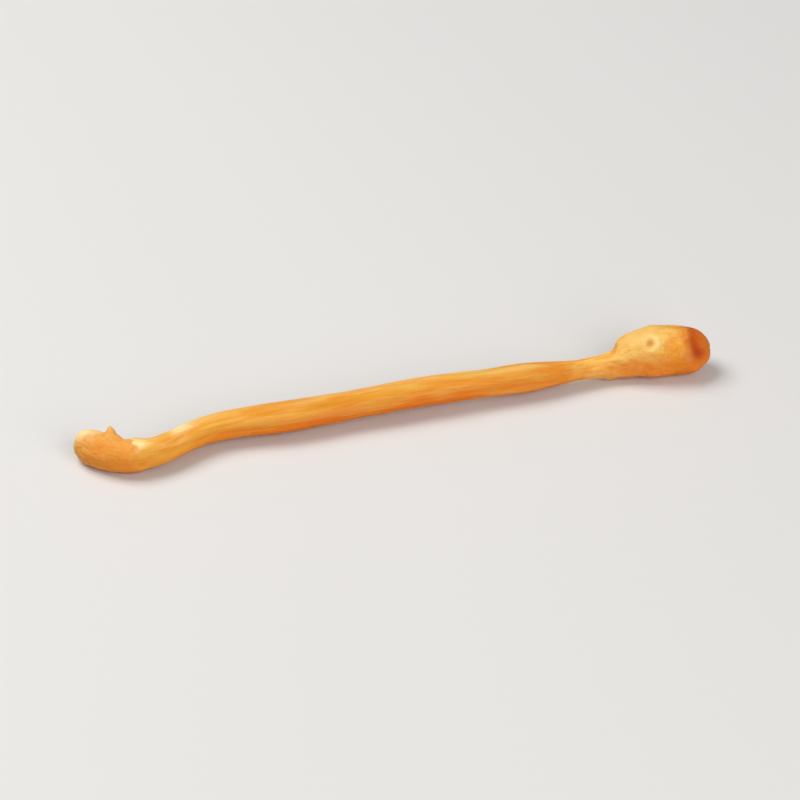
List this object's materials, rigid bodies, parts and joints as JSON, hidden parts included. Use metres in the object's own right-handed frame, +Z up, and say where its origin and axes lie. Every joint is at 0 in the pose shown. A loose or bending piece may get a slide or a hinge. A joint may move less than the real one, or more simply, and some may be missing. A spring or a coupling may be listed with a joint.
{
  "type": "dried cordyceps fruit body",
  "caption": "Dried orange cordyceps fruit body lying on its side, with a long bent stalk, a blunt torn foot and a swollen club head.",
  "frame": {"origin": "on the surface it lies on, under the middle of its bounding box", "axes": "+X along the fruit body from the foot to the club head, +Z up off the surface it lies on"},
  "size_m": [0.0788, 0.0099, 0.006],
  "materials": {
    "dried_flesh": "satin"
  },
  "bodies": {
    "root": {"fruit_body": "dried_flesh"}
  },
  "joints": []
}
